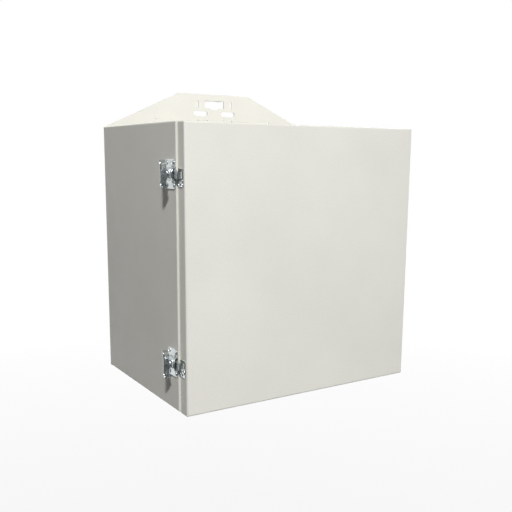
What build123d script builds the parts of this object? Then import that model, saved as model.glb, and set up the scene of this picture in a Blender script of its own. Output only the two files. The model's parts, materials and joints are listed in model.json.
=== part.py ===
"""Pole-mounted steel enclosure for the batteries of an uninterruptible power supply.

Millimetres. Seen from the door, X runs to the right, Y to the back and Z up.
The origin is the centre of the mounting face, on the back of the mounting plate.
"""

import os

from build123d import *

os.makedirs("parts", exist_ok=True)

# Cabinet
body_width = 540
body_height = 530
overall_depth = 381
sheet = 1.5
bend = 3
plate_thick = 3

# Door
door_return = 25
door_gap = 0.5
door_inset = 4
door_top_drop = 1
door_drip = 3

# Planes and edges of the front opening
door_rear = overall_depth - door_return
shoulder = door_rear - door_gap
shoulder_width = 18
lip_height = 12
opening_width = body_width - 2 * shoulder_width
opening_height = body_height - 2 * shoulder_width
door_width = body_width - 2 * door_inset
door_height = body_height - door_top_drop + door_drip
door_middle = -(door_top_drop + door_drip) / 2

# Mounting plate, its heights counted from the top of the cabinet
flange_rise = 81
flange_top = 182
window_width, window_low, window_high = 50, 50, 67
window_bulge_width, window_bulge = 24, 3.6
band_slot_spacing, band_slot_width, band_slot_height, band_slot_rise = 88, 5, 16, 58.8
bolt_slot_spacing, bolt_slot_length, bolt_slot_width, bolt_slot_rise = 72.6, 36, 11.3, 37.4
pilot_hole, pilot_rise = 5, 21
pilot_places = (-150, -44.4, -21.8, 21.8, 44.4, 150)
pole_radius = 25.4
saddle_width, saddle_reach = 48, 20
pole_axis = saddle_reach - 11.1 + pole_radius

# Latches on the left wall
latch_heights = {"upper": 173, "lower": -173}
latch_setback = 40
latch_stroke = 6
latch_rivet_places = ((7, 20), (7, -20), (-19, 20), (-19, -20))
keeper_rivet_places = ((31.7, -12), (22.4, -16.8))
crank_shaft, crank_pin, crank_seat = 4, 2, 6.8
wing_seat, wing_reach = 12.3, 14
keeper_top, keeper_bottom, keeper_lip = 10, -22, 14
link_low, link_width = 4.6, 14.5

# Piano hinge on the right side
hinge_length = 500
knuckle_count = 10
knuckle_gap = 0.8
knuckle_radius = 3.4
hinge_pin_radius = 1.6
hinge_bore_radius = 1.66
leaf_thick = 1.4
hinge_x = body_width / 2 + 3.6
hinge_y = -(shoulder + door_gap / 2)
hinge_rivet_heights = (-225, -125, -25, 75, 175, 225)

# Rivets
rivet_radius = 2.3
rivet_hole = 2.4
rivet_head_radius, rivet_head_height = 4.6, 1.8

# Batteries and tray
battery_width, battery_length, battery_height = 168, 260, 208
battery_gap = 4
battery_back = -20
tray_thick = 2
tray_lip = 30
floor_z = -body_height / 2 + sheet
battery_base = floor_z + tray_thick
battery_top = battery_base + battery_height
battery_middle_y = battery_back - battery_length / 2
battery_x = (battery_width + battery_gap) / 2
post_x, post_y = 50, battery_middle_y - 98
case_step, case_groove, case_groove_pitch = 3, 3, 24
vent_cover_width, vent_cover_depth, vent_cover_rise = 110, 40, 1.5
vent_cover_y = battery_middle_y + 66
tray_inner_width = 2 * battery_width + battery_gap + 4
tray_inner_length = battery_length + 4

# Hold-down
bar_length, bar_leg, bar_thick = 392, 25, 3
rod_x, rod_radius = 184, 3
ear_x = tray_inner_width / 2 + tray_thick + 10
tray_bolt_places = [(x, battery_middle_y + y) for x in (-ear_x, ear_x) for y in (-90, 90)]

# Equipment panel
panel_width, panel_height, panel_thick = 430, 220, 2
panel_middle_z = 120
panel_back = -28
stud_x, stud_z = 200, 95
rail_z, rail_length = 150, 330
breaker_x, breaker_width, breaker_height = 90, 36, 84
terminal_x, terminal_count, terminal_pitch = -60, 5, 12
terminal_height = 48
breaker_entry, terminal_entry, toggle_depth, toggle_tilt = 32, 20, 54, 25
lead_radius, lead_bend, lead_cross_z = 4, 20, 55
lug_thick, post_pocket = 2.4, 6
rail_screw_x = 130
ground_x, ground_z = 150, 45

# Underside
gland_y = -308
gland_plate_width, gland_plate_depth = 184, 52
gland_cutout_width, gland_cutout_depth = 144, 42
gland_plate_screw_places = [(x, gland_y + y) for x in (-82, 82) for y in (-16, 16)]
gland_places = ((-45, gland_y), (45, gland_y))
gland_thread, gland_bore = 12.5, 8
gland_seat = -body_height / 2 - sheet
vent_places = ((-190, -300), (190, -300))
vent_radius = 6


def latch_plane(height, face_x):
    """Plane on the left side: x towards the door, y up, z out of the cabinet."""
    origin = (face_x, -(overall_depth - latch_setback), height)
    return Plane(origin=origin, x_dir=(0, -1, 0), z_dir=(-1, 0, 0))


def front_plane(depth):
    """Plane facing the door, a given depth in front of the mounting face."""
    return Plane.XZ.offset(depth)


def side_places(heights, y):
    """Points on a plane across the right wall, whose x is Y and whose y is Z."""
    return [(y, height) for height in heights]


# Mounting plate, with a pole flange above and below the cabinet
with BuildPart() as mounting_plate:
    with BuildSketch(Plane.XZ):
        with BuildLine():
            Polyline(
                (body_width / 2, 0),
                (body_width / 2, body_height / 2),
                (flange_top / 2, body_height / 2 + flange_rise),
                (-flange_top / 2, body_height / 2 + flange_rise),
                (-body_width / 2, body_height / 2),
                (-body_width / 2, 0),
                close=True,
            )
        make_face()
        mirror(about=Plane.XZ)
    extrude(amount=plate_thick)
    flange_corners = mounting_plate.edges().filter_by(Axis.Y)
    fillet(flange_corners.group_by(Axis.Z)[0] + flange_corners.group_by(Axis.Z)[-1], 6)

    # Saddles bent back from the windows
    with BuildSketch(Plane.XY.offset(body_height / 2 + window_high)):
        with Locations((0, saddle_reach / 2)):
            Rectangle(saddle_width, saddle_reach)
        with Locations((0, pole_axis)):
            Circle(pole_radius, mode=Mode.SUBTRACT)
    extrude(amount=plate_thick)
    with BuildSketch(Plane.XY.offset(-body_height / 2 - window_high)):
        with Locations((0, saddle_reach / 2)):
            Rectangle(saddle_width, saddle_reach)
        with Locations((0, pole_axis)):
            Circle(pole_radius, mode=Mode.SUBTRACT)
    extrude(amount=-plate_thick)

    # Windows, band slots, bolt slots and pilot holes
    with BuildSketch(Plane.XZ):
        with Locations((0, body_height / 2 + (window_low + window_high) / 2)):
            Rectangle(window_width, window_high - window_low)
        with BuildLine():
            window_edge = body_height / 2 + window_low
            ThreePointArc(
                (-window_bulge_width / 2, window_edge),
                (0, window_edge - window_bulge),
                (window_bulge_width / 2, window_edge),
            )
            Line((window_bulge_width / 2, window_edge), (-window_bulge_width / 2, window_edge))
        make_face()
        with Locations((0, body_height / 2 + band_slot_rise)):
            with GridLocations(band_slot_spacing, 0, 2, 1):
                SlotOverall(band_slot_height, band_slot_width, rotation=90)
        with Locations((0, body_height / 2 + bolt_slot_rise)):
            with GridLocations(bolt_slot_spacing, 0, 2, 1):
                SlotOverall(bolt_slot_length, bolt_slot_width)
        with Locations([(x, body_height / 2 + pilot_rise) for x in pilot_places]):
            Circle(pilot_hole / 2)
        mirror(about=Plane.XZ)
    extrude(amount=plate_thick, mode=Mode.SUBTRACT)
mounting_plate.part.label = "mounting_plate"
export_step(mounting_plate.part, "parts/mounting_plate.step")

# Cabinet shell: folded walls with a shoulder and a rain lip round the opening
with BuildPart() as cabinet_shell:
    with BuildSketch(front_plane(plate_thick)):
        RectangleRounded(body_width, body_height, bend)
        RectangleRounded(
            body_width - 2 * sheet, body_height - 2 * sheet, bend - sheet, mode=Mode.SUBTRACT
        )
    extrude(amount=shoulder - plate_thick)
    with BuildSketch(front_plane(plate_thick)):
        RectangleRounded(body_width, body_height, bend)
        Rectangle(body_width - 28, body_height - 28, mode=Mode.SUBTRACT)
    extrude(amount=sheet)
    with BuildSketch(front_plane(shoulder)):
        RectangleRounded(body_width, body_height, bend)
        RectangleRounded(opening_width, opening_height, 4, mode=Mode.SUBTRACT)
    extrude(amount=-sheet)
    with BuildSketch(front_plane(shoulder - sheet)):
        RectangleRounded(opening_width + 2 * sheet, opening_height + 2 * sheet, 4 + sheet)
        RectangleRounded(opening_width, opening_height, 4, mode=Mode.SUBTRACT)
    extrude(amount=sheet + lip_height)
    shoulder_faces = cabinet_shell.faces().filter_by_position(
        Axis.Y, -shoulder - 0.01, -shoulder + 0.01
    )
    fillet(shoulder_faces.sort_by(SortBy.AREA)[-1].outer_wire().edges(), 1.4)

    # Gland cut-out, vent holes and bolt holes in the floor
    with BuildSketch(Plane.XY.offset(-body_height / 2)):
        with Locations((0, gland_y)):
            RectangleRounded(gland_cutout_width, gland_cutout_depth, 4)
        with Locations(gland_plate_screw_places):
            Circle(2.5)
        with Locations(vent_places):
            Circle(vent_radius + 0.1)
        with Locations(tray_bolt_places):
            Circle(3.2)
    extrude(amount=sheet, mode=Mode.SUBTRACT)

    # Rivet holes for the latches and the hinge
    for latch_height in latch_heights.values():
        with BuildSketch(latch_plane(latch_height, -body_width / 2)):
            with Locations(latch_rivet_places):
                Circle(rivet_hole)
        extrude(amount=-sheet, mode=Mode.SUBTRACT)
    with BuildSketch(Plane.YZ.offset(body_width / 2)):
        with Locations(side_places(hinge_rivet_heights, hinge_y + 15)):
            Circle(rivet_hole)
    extrude(amount=-sheet, mode=Mode.SUBTRACT)
cabinet_shell.part.label = "cabinet_shell"
export_step(cabinet_shell.part, "parts/cabinet_shell.step")

# Door pan, a folded tray with its edges returned towards the cabinet
with BuildPart() as door_pan:
    with BuildSketch(front_plane(door_rear)):
        with Locations((0, door_middle)):
            RectangleRounded(door_width, door_height, 2.5)
    extrude(amount=door_return)
    fillet(door_pan.faces().sort_by(Axis.Y)[0].edges(), bend)
    offset(amount=-sheet, openings=door_pan.faces().sort_by(Axis.Y)[-1])
    for latch_height in latch_heights.values():
        with BuildSketch(latch_plane(latch_height, -door_width / 2)):
            with Locations(keeper_rivet_places):
                Circle(rivet_hole)
        extrude(amount=-sheet, mode=Mode.SUBTRACT)
    with BuildSketch(Plane.YZ.offset(door_width / 2)):
        with Locations(side_places(hinge_rivet_heights, hinge_y - 15)):
            Circle(rivet_hole)
    extrude(amount=-sheet, mode=Mode.SUBTRACT)
door_pan.part.label = "door_pan"
export_step(door_pan.part, "parts/door_pan.step")

# Foam gasket in the door, facing the rain lip
with BuildPart() as door_gasket:
    with BuildSketch(front_plane(shoulder + lip_height + 0.5)):
        RectangleRounded(opening_width + 14, opening_height + 14, 8)
        RectangleRounded(opening_width - 10, opening_height - 10, 3, mode=Mode.SUBTRACT)
    extrude(amount=overall_depth - sheet - (shoulder + lip_height + 0.5))
door_gasket.part.label = "door_gasket"
export_step(door_gasket.part, "parts/door_gasket.step")


# Piano hinge: two leaves with alternating knuckles on one pin
def strip_section(strip_x, strip_y, joint_y):
    """Section of a leaf: flat on its wall, joggled out where it meets the knuckles."""
    knuckle_x = hinge_x - knuckle_radius
    slope_y = joint_y + (1 if strip_y > joint_y else -1) * (knuckle_x - strip_x)
    return [
        (strip_x, strip_y),
        (strip_x + leaf_thick, strip_y),
        (strip_x + leaf_thick, slope_y),
        (knuckle_x + leaf_thick, joint_y),
        (knuckle_x + leaf_thick, hinge_y),
        (knuckle_x, hinge_y),
        (knuckle_x, joint_y),
        (strip_x, slope_y),
    ]


def hinge_leaf(first_knuckle, strip_x, strip_y, joint_y, sheet_holes_y):
    """Leaf whose strip lies on a side wall and whose knuckles take every second place."""
    pitch = hinge_length / knuckle_count
    knuckle_length = pitch - knuckle_gap
    bottom = -hinge_length / 2
    with BuildPart() as leaf:
        with BuildSketch(Plane.XY.offset(bottom + knuckle_gap / 2)):
            with BuildLine():
                Polyline(*strip_section(strip_x, strip_y, joint_y), close=True)
            make_face()
        extrude(amount=hinge_length - knuckle_gap)
        for number in range(knuckle_count):
            start = bottom + number * pitch
            if number % 2 == first_knuckle:
                with BuildSketch(Plane.XY.offset(start + knuckle_gap / 2)):
                    with Locations((hinge_x, hinge_y)):
                        Circle(knuckle_radius)
                extrude(amount=knuckle_length)
            else:
                with BuildSketch(Plane.XY.offset(start - knuckle_gap / 2)):
                    with Locations((hinge_x, hinge_y)):
                        Circle(knuckle_radius + 0.5)
                extrude(amount=pitch + knuckle_gap, mode=Mode.SUBTRACT)
        with BuildSketch(Plane.XY.offset(bottom)):
            with Locations((hinge_x, hinge_y)):
                Circle(hinge_bore_radius)
        extrude(amount=hinge_length, mode=Mode.SUBTRACT)
        with BuildSketch(Plane.YZ.offset(strip_x)):
            with Locations(side_places(hinge_rivet_heights, sheet_holes_y)):
                Circle(rivet_hole)
        extrude(amount=leaf_thick, mode=Mode.SUBTRACT)
    return leaf.part


hinge_body_leaf = hinge_leaf(0, body_width / 2, hinge_y + 24, hinge_y + 3, hinge_y + 15)
hinge_body_leaf.label = "hinge_body_leaf"
export_step(hinge_body_leaf, "parts/hinge_body_leaf.step")

hinge_door_leaf = hinge_leaf(1, door_width / 2, hinge_y - 22, hinge_y - 4, hinge_y - 15)
hinge_door_leaf.label = "hinge_door_leaf"
export_step(hinge_door_leaf, "parts/hinge_door_leaf.step")

with BuildPart() as hinge_pin:
    with BuildSketch(Plane.XY.offset(-hinge_length / 2 - 0.8)):
        with Locations((hinge_x, hinge_y)):
            Circle(hinge_pin_radius)
    extrude(amount=hinge_length + 1.6)
    for end, rise in ((-hinge_length / 2 - 0.8, -1.6), (hinge_length / 2 + 0.8, 1.6)):
        with BuildSketch(Plane.XY.offset(end)):
            with Locations((hinge_x, hinge_y)):
                Circle(hinge_pin_radius + 1)
        extrude(amount=rise)
hinge_pin.part.label = "hinge_pin"
export_step(hinge_pin.part, "parts/hinge_pin.step")


# Rivets: a low dome outside, a shank through the sheets and a flat tail inside
def rivets(plane, places, grip):
    """Group of equal rivets whose heads rest on the plane."""
    with BuildPart() as group:
        with BuildSketch(plane):
            with Locations(places):
                Circle(rivet_head_radius)
        extrude(amount=rivet_head_height, taper=25)
        with BuildSketch(plane):
            with Locations(places):
                Circle(rivet_radius)
        extrude(amount=-grip)
        with BuildSketch(plane.offset(-grip)):
            with Locations(places):
                Circle(rivet_radius + 1)
        extrude(amount=-1)
    return group.part


hinge_body_rivets = rivets(
    Plane.YZ.offset(body_width / 2 + leaf_thick),
    side_places(hinge_rivet_heights, hinge_y + 15),
    leaf_thick + sheet,
)
hinge_body_rivets.label = "hinge_body_rivets"
export_step(hinge_body_rivets, "parts/hinge_body_rivets.step")

hinge_door_rivets = rivets(
    Plane.YZ.offset(door_width / 2 + leaf_thick),
    side_places(hinge_rivet_heights, hinge_y - 15),
    leaf_thick + sheet,
)
hinge_door_rivets.label = "hinge_door_rivets"
export_step(hinge_door_rivets, "parts/hinge_door_rivets.step")


# Rotary draw latches
def latch_base(wall):
    """Pressed base: a riveted flange with a half-round bridge that the link slides in."""
    mouth = Plane(origin=wall.origin + wall.x_dir * 13, x_dir=wall.y_dir, z_dir=wall.x_dir)
    with BuildPart() as base:
        with BuildSketch(wall):
            with Locations((-6, 0)):
                RectangleRounded(38, 52, 5)
        extrude(amount=2)
        with BuildSketch(mouth):
            Circle(12)
            with Locations((0, -8)):
                Rectangle(40, 16, mode=Mode.SUBTRACT)
        extrude(amount=-33)
        bridge_rims = base.edges().filter_by(GeomType.CIRCLE).filter_by(lambda rim: rim.radius > 11)
        fillet(bridge_rims.sort_by(Axis.Y)[-1], 3)
        with BuildSketch(mouth):
            Circle(10.2)
            with Locations((0, -8)):
                Rectangle(40, 16, mode=Mode.SUBTRACT)
        extrude(amount=-30, mode=Mode.SUBTRACT)
        with BuildSketch(wall):
            with Locations(latch_rivet_places):
                Circle(rivet_hole)
            with Locations((6, 13.6), (6, -13.6)):
                SlotOverall(11, 2.4)
            Circle(crank_shaft + 0.06)
        extrude(amount=13, mode=Mode.SUBTRACT)
    return base.part


def latch_wing(wall):
    """Wing handle with its hub, shaft and crank pin, standing across the bridge."""
    across = Plane(origin=wall.origin, x_dir=wall.y_dir, z_dir=wall.x_dir)
    with BuildPart() as wing:
        with BuildSketch(wall.offset(wing_seat)):
            with BuildLine():
                JernArc((0, 15), (0, 1), 8, 60)
                Line((0, 15), (0, -15))
                JernArc((0, -15), (0, -1), 8, 60)
            trace(line_width=2.4)
        extrude(amount=wing_reach)
        with BuildSketch(across):
            with BuildLine():
                Line((-30, wing_seat), (30, wing_seat))
                Line((30, wing_seat), (30, wing_seat + wing_reach))
                ThreePointArc(
                    (30, wing_seat + wing_reach),
                    (0, wing_seat + wing_reach - 2.5),
                    (-30, wing_seat + wing_reach),
                )
                Line((-30, wing_seat + wing_reach), (-30, wing_seat))
            make_face()
        extrude(amount=12, both=True, mode=Mode.INTERSECT)
        with BuildSketch(wall.offset(wing_seat)):
            Circle(10)
        extrude(amount=2.6)
        with BuildSketch(wall.offset(wing_seat)):
            Circle(crank_shaft)
        extrude(amount=-(wing_seat - crank_seat))
        with BuildSketch(wall.offset(crank_seat)):
            Circle(6.2)
        extrude(amount=1)
        with BuildSketch(wall.offset(crank_seat)):
            with Locations((-latch_stroke / 2, 0)):
                Circle(crank_pin)
        extrude(amount=-2.9)
    return wing.part


def latch_link(wall):
    """Flat draw link with a cross slot for the crank pin and a turned-in tip."""
    side = Plane(origin=wall.origin, x_dir=wall.x_dir, z_dir=-wall.y_dir)
    with BuildPart() as link:
        with BuildSketch(side):
            with BuildLine():
                Polyline(
                    (-16, link_low),
                    (29.5, link_low),
                    (29.5, link_low - 2),
                    (31.5, link_low - 2),
                    (31.5, link_low + 2),
                    (-16, link_low + 2),
                    close=True,
                )
            make_face()
        extrude(amount=link_width / 2, both=True)
        link_tip = link.edges().filter_by(Axis.Z).group_by(Axis.Y)[0].sort_by(Axis.X)[0]
        fillet(link_tip, 1.5)
        with BuildSketch(wall.offset(link_low)):
            with Locations((-latch_stroke / 2, 0)):
                SlotOverall(10.8, 5.7, rotation=90)
        extrude(amount=2, mode=Mode.SUBTRACT)
    return link.part


def latch_keeper(face):
    """Riveted keeper that hangs below its lip, bent up in front of the link's tip."""
    with BuildPart() as keeper:
        with BuildSketch(face):
            with Locations((27, (keeper_top + keeper_bottom) / 2)):
                RectangleRounded(19, keeper_top - keeper_bottom, 3)
            with Locations((30, 0)):
                Rectangle(6, keeper_lip, mode=Mode.SUBTRACT)
            with Locations(keeper_rivet_places):
                Circle(rivet_hole, mode=Mode.SUBTRACT)
        extrude(amount=1.5)
        with BuildSketch(face):
            with Locations((26.25, 0)):
                Rectangle(1.5, keeper_lip)
        extrude(amount=door_inset + link_low - 2.4)
    return keeper.part


for place, height in latch_heights.items():
    wall_plane = latch_plane(height, -body_width / 2)
    door_plane = latch_plane(height, -door_width / 2)

    base_part = latch_base(wall_plane)
    base_part.label = f"latch_base_{place}"
    export_step(base_part, f"parts/latch_base_{place}.step")

    wing_part = latch_wing(wall_plane)
    wing_part.label = f"latch_wing_{place}"
    export_step(wing_part, f"parts/latch_wing_{place}.step")

    link_part = latch_link(wall_plane)
    link_part.label = f"latch_link_{place}"
    export_step(link_part, f"parts/latch_link_{place}.step")

    keeper_part = latch_keeper(door_plane)
    keeper_part.label = f"latch_keeper_{place}"
    export_step(keeper_part, f"parts/latch_keeper_{place}.step")

    base_rivets = rivets(wall_plane.offset(2), latch_rivet_places, 2 + sheet)
    base_rivets.label = f"latch_rivets_{place}"
    export_step(base_rivets, f"parts/latch_rivets_{place}.step")

    keeper_rivets = rivets(door_plane.offset(1.5), keeper_rivet_places, 1.5 + sheet)
    keeper_rivets.label = f"keeper_rivets_{place}"
    export_step(keeper_rivets, f"parts/keeper_rivets_{place}.step")


# Battery tray, with ears for its own bolts and for the hold-down rods
with BuildPart() as battery_tray:
    with BuildSketch(Plane.XY.offset(floor_z)):
        with Locations((0, battery_middle_y)):
            RectangleRounded(tray_inner_width + 2 * tray_thick, tray_inner_length + 2 * tray_thick, 3)
    extrude(amount=tray_lip)
    with BuildSketch(Plane.XY.offset(floor_z + tray_thick)):
        with Locations((0, battery_middle_y)):
            RectangleRounded(tray_inner_width, tray_inner_length, 1)
    extrude(amount=tray_lip, mode=Mode.SUBTRACT)
    with BuildSketch(Plane.XY.offset(floor_z)):
        with Locations(tray_bolt_places):
            RectangleRounded(22, 22, 4)
            Circle(3.2, mode=Mode.SUBTRACT)
        with Locations((0, battery_middle_y)):
            Rectangle(tray_inner_width, tray_inner_length, mode=Mode.SUBTRACT)
    extrude(amount=tray_thick)
    with BuildSketch(Plane.XY.offset(floor_z + tray_lip - tray_thick)):
        with Locations((-ear_x, battery_middle_y), (ear_x, battery_middle_y)):
            RectangleRounded(22, 24, 4)
        with Locations((-rod_x, battery_middle_y), (rod_x, battery_middle_y)):
            Circle(rod_radius + 0.3, mode=Mode.SUBTRACT)
        with Locations((0, battery_middle_y)):
            Rectangle(tray_inner_width, tray_inner_length, mode=Mode.SUBTRACT)
    extrude(amount=tray_thick)
battery_tray.part.label = "battery_tray"
export_step(battery_tray.part, "parts/battery_tray.step")

with BuildPart() as tray_bolts:
    with BuildSketch(Plane.XY.offset(floor_z + tray_thick)):
        with Locations(tray_bolt_places):
            RegularPolygon(5.8, 6)
    extrude(amount=4)
    with BuildSketch(Plane.XY.offset(floor_z + tray_thick)):
        with Locations(tray_bolt_places):
            Circle(3)
    extrude(amount=-(tray_thick + sheet + 7))
tray_bolts.part.label = "tray_bolts"
export_step(tray_bolts.part, "parts/tray_bolts.step")

with BuildPart() as tray_nuts:
    with BuildSketch(Plane.XY.offset(-body_height / 2)):
        with Locations(tray_bolt_places):
            RegularPolygon(5.8, 6)
            Circle(3.05, mode=Mode.SUBTRACT)
    extrude(amount=-5)
tray_nuts.part.label = "tray_nuts"
export_step(tray_nuts.part, "parts/tray_nuts.step")

# Angle bar across the batteries, pulled down by two rods with wing nuts
with BuildPart() as hold_down_bar:
    with BuildSketch(Plane.YZ.offset(-bar_length / 2)):
        with BuildLine():
            Polyline(
                (battery_middle_y - bar_leg / 2, battery_top),
                (battery_middle_y + bar_leg / 2, battery_top),
                (battery_middle_y + bar_leg / 2, battery_top + bar_leg),
                (battery_middle_y + bar_leg / 2 - bar_thick, battery_top + bar_leg),
                (battery_middle_y + bar_leg / 2 - bar_thick, battery_top + bar_thick),
                (battery_middle_y - bar_leg / 2, battery_top + bar_thick),
                close=True,
            )
        make_face()
    extrude(amount=bar_length)
    inner_corner = hold_down_bar.edges().filter_by(Axis.X).sort_by_distance(
        (0, battery_middle_y + bar_leg / 2 - bar_thick, battery_top + bar_thick)
    )
    fillet(inner_corner[0], 3)
    with BuildSketch(Plane.XY.offset(battery_top)):
        with Locations((-rod_x, battery_middle_y - 1), (rod_x, battery_middle_y - 1)):
            SlotOverall(9, 2 * rod_radius + 0.6, rotation=90)
    extrude(amount=bar_thick, mode=Mode.SUBTRACT)
hold_down_bar.part.label = "hold_down_bar"
export_step(hold_down_bar.part, "parts/hold_down_bar.step")

rod_places = ((-rod_x, battery_middle_y), (rod_x, battery_middle_y))
rod_foot = floor_z + tray_lip - tray_thick
nut_seat = battery_top + bar_thick
with BuildPart() as hold_down_rods:
    with BuildSketch(Plane.XY.offset(rod_foot)):
        with Locations(rod_places):
            RegularPolygon(5.8, 6)
    extrude(amount=-4)
    with BuildSketch(Plane.XY.offset(rod_foot)):
        with Locations(rod_places):
            Circle(rod_radius)
    extrude(amount=nut_seat + 14 - rod_foot)
hold_down_rods.part.label = "hold_down_rods"
export_step(hold_down_rods.part, "parts/hold_down_rods.step")

with BuildPart() as wing_nuts:
    with BuildSketch(Plane.XY.offset(nut_seat)):
        with Locations(rod_places):
            Circle(5.5)
    extrude(amount=7, taper=6)
    with BuildSketch(Plane.XZ.offset(-battery_middle_y)):
        with Locations([(x, nut_seat) for x, _ in rod_places]):
            with Locations((8.5, 7), (-8.5, 7)):
                Ellipse(5.5, 6)
            with Locations((0, 4)):
                Rectangle(16, 5)
    extrude(amount=1.2, both=True)
    with BuildSketch(Plane.XY.offset(nut_seat)):
        with Locations(rod_places):
            Circle(rod_radius + 0.05)
    extrude(amount=16, mode=Mode.SUBTRACT)
wing_nuts.part.label = "wing_nuts"
export_step(wing_nuts.part, "parts/wing_nuts.step")


# Sealed batteries, each with a vent cover and two posts in corner pockets of its lid
def battery(middle_x):
    """Moulded case with fluted walls and a lid, with a grip at each end and a pocket round each post."""
    lid_z = battery_top - 26
    case_width, case_length = battery_width - case_step, battery_length - case_step
    with BuildPart() as case:
        with BuildSketch(Plane.XY.offset(battery_base)):
            with Locations((middle_x, battery_middle_y)):
                RectangleRounded(case_width, case_length, 5)
                with GridLocations(case_groove_pitch, case_length, 6, 2):
                    Rectangle(case_groove, 2, mode=Mode.SUBTRACT)
                with GridLocations(case_width, case_groove_pitch, 2, 10):
                    Rectangle(2, case_groove, mode=Mode.SUBTRACT)
        extrude(amount=lid_z - battery_base)
        with BuildSketch(Plane.XY.offset(lid_z)):
            with Locations((middle_x, battery_middle_y)):
                RectangleRounded(battery_width, battery_length, 6)
        extrude(amount=26)
        fillet(case.faces().sort_by(Axis.Z)[-1].edges(), 1.5)
        with BuildSketch(Plane.XY.offset(battery_top)):
            with Locations((middle_x, vent_cover_y)):
                RectangleRounded(vent_cover_width, vent_cover_depth, 4)
        extrude(amount=vent_cover_rise)
        with BuildSketch(Plane.XY.offset(battery_top - post_pocket)):
            with Locations((middle_x, post_y)):
                with GridLocations(2 * post_x, 0, 2, 1):
                    RectangleRounded(36, 36, 5)
        extrude(amount=post_pocket, mode=Mode.SUBTRACT)
        with BuildSketch(Plane.XY.offset(battery_top - 20)):
            with Locations((middle_x, battery_middle_y)):
                with GridLocations(0, battery_length, 1, 2):
                    RectangleRounded(84, 14, 3)
        extrude(amount=12, mode=Mode.SUBTRACT)
        with BuildSketch(Plane.XY.offset(battery_top - post_pocket)):
            with Locations((middle_x, post_y)):
                with GridLocations(2 * post_x, 0, 2, 1):
                    Circle(3.3)
        extrude(amount=-10, mode=Mode.SUBTRACT)
    return case.part


for side, direction in (("left", -1), ("right", 1)):
    battery_part = battery(direction * battery_x)
    battery_part.label = f"battery_{side}"
    export_step(battery_part, f"parts/battery_{side}.step")

post_places = [(middle + post, post_y) for middle in (-battery_x, battery_x) for post in (-post_x, post_x)]
lug_seat = battery_top + 1.5
with BuildPart() as battery_posts:
    with BuildSketch(Plane.XY.offset(battery_top - post_pocket)):
        with Locations(post_places):
            Circle(9)
            Circle(3.05, mode=Mode.SUBTRACT)
    extrude(amount=lug_seat - battery_top + post_pocket)
battery_posts.part.label = "battery_posts"
export_step(battery_posts.part, "parts/battery_posts.step")

with BuildPart() as post_bolts:
    with BuildSketch(Plane.XY.offset(lug_seat + lug_thick)):
        with Locations(post_places):
            RegularPolygon(5.8, 6)
    extrude(amount=4)
    with BuildSketch(Plane.XY.offset(lug_seat + lug_thick)):
        with Locations(post_places):
            Circle(3)
    extrude(amount=-(lug_thick + 15))
post_bolts.part.label = "post_bolts"
export_step(post_bolts.part, "parts/post_bolts.step")

# Cable lugs on the posts: ring, tongue and crimp barrel
lug_turns = (180, -90, -90, 0)
with BuildPart() as cable_lugs:
    for (lug_x, lug_y), turn in zip(post_places, lug_turns):
        lug_plane = Plane((lug_x, lug_y, lug_seat)).rotated((0, 0, turn))
        with BuildSketch(lug_plane):
            Circle(8)
            with Locations((8, 0)):
                Rectangle(10, 9)
            Circle(3.2, mode=Mode.SUBTRACT)
        extrude(amount=lug_thick)
        barrel_plane = Plane(
            origin=lug_plane.origin + lug_plane.x_dir * 12 + Vector(0, 0, lead_radius + 1),
            x_dir=lug_plane.y_dir,
            z_dir=lug_plane.x_dir,
        )
        with BuildSketch(barrel_plane):
            Circle(lead_radius + 1)
        extrude(amount=14)
        with BuildSketch(barrel_plane.offset(2)):
            Circle(lead_radius + 0.05)
        extrude(amount=12, mode=Mode.SUBTRACT)
cable_lugs.part.label = "cable_lugs"
export_step(cable_lugs.part, "parts/cable_lugs.step")


# Leads between the posts, the breaker and the terminal blocks
def lead(points):
    """Insulated cable along straight runs joined by bends."""
    with BuildPart() as cable:
        with BuildLine() as route:
            FilletPolyline(*points, radius=lead_bend)
        with BuildSketch(Plane(origin=route.line @ 0, z_dir=route.line % 0)):
            Circle(lead_radius)
        sweep()
    return cable.part


lead_z = lug_seat + lead_radius + 1
lug_reach = 14.1
jumper_front = post_y - 52
series_jumper = lead(
    [
        (post_places[1][0], post_y - lug_reach, lead_z),
        (post_places[1][0], jumper_front, lead_z),
        (post_places[2][0], jumper_front, lead_z),
        (post_places[2][0], post_y - lug_reach, lead_z),
    ]
)
series_jumper.label = "series_jumper"
export_step(series_jumper, "parts/series_jumper.step")

panel_face = -panel_back + panel_thick
positive_lead = lead(
    [
        (post_places[3][0] + lug_reach, post_y, lead_z),
        (panel_width / 2, post_y, lead_z),
        (panel_width / 2, post_y, lead_cross_z),
        (panel_width / 2, -(panel_face + breaker_entry), lead_cross_z),
        (breaker_x + breaker_width / 4, -(panel_face + breaker_entry), lead_cross_z),
        (breaker_x + breaker_width / 4, -(panel_face + breaker_entry), rail_z - breaker_height / 2 + 12),
    ]
)
positive_lead.label = "positive_lead"
export_step(positive_lead, "parts/positive_lead.step")

terminal_first_x = terminal_x - (terminal_count - 1) / 2 * terminal_pitch
negative_lead = lead(
    [
        (post_places[0][0] - lug_reach, post_y, lead_z),
        (-panel_width / 2, post_y, lead_z),
        (-panel_width / 2, post_y, lead_cross_z),
        (-panel_width / 2, -(panel_face + terminal_entry), lead_cross_z),
        (terminal_first_x, -(panel_face + terminal_entry), lead_cross_z),
        (terminal_first_x, -(panel_face + terminal_entry), rail_z - terminal_height / 2 + 8),
    ]
)
negative_lead.label = "negative_lead"
export_step(negative_lead, "parts/negative_lead.step")

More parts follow.
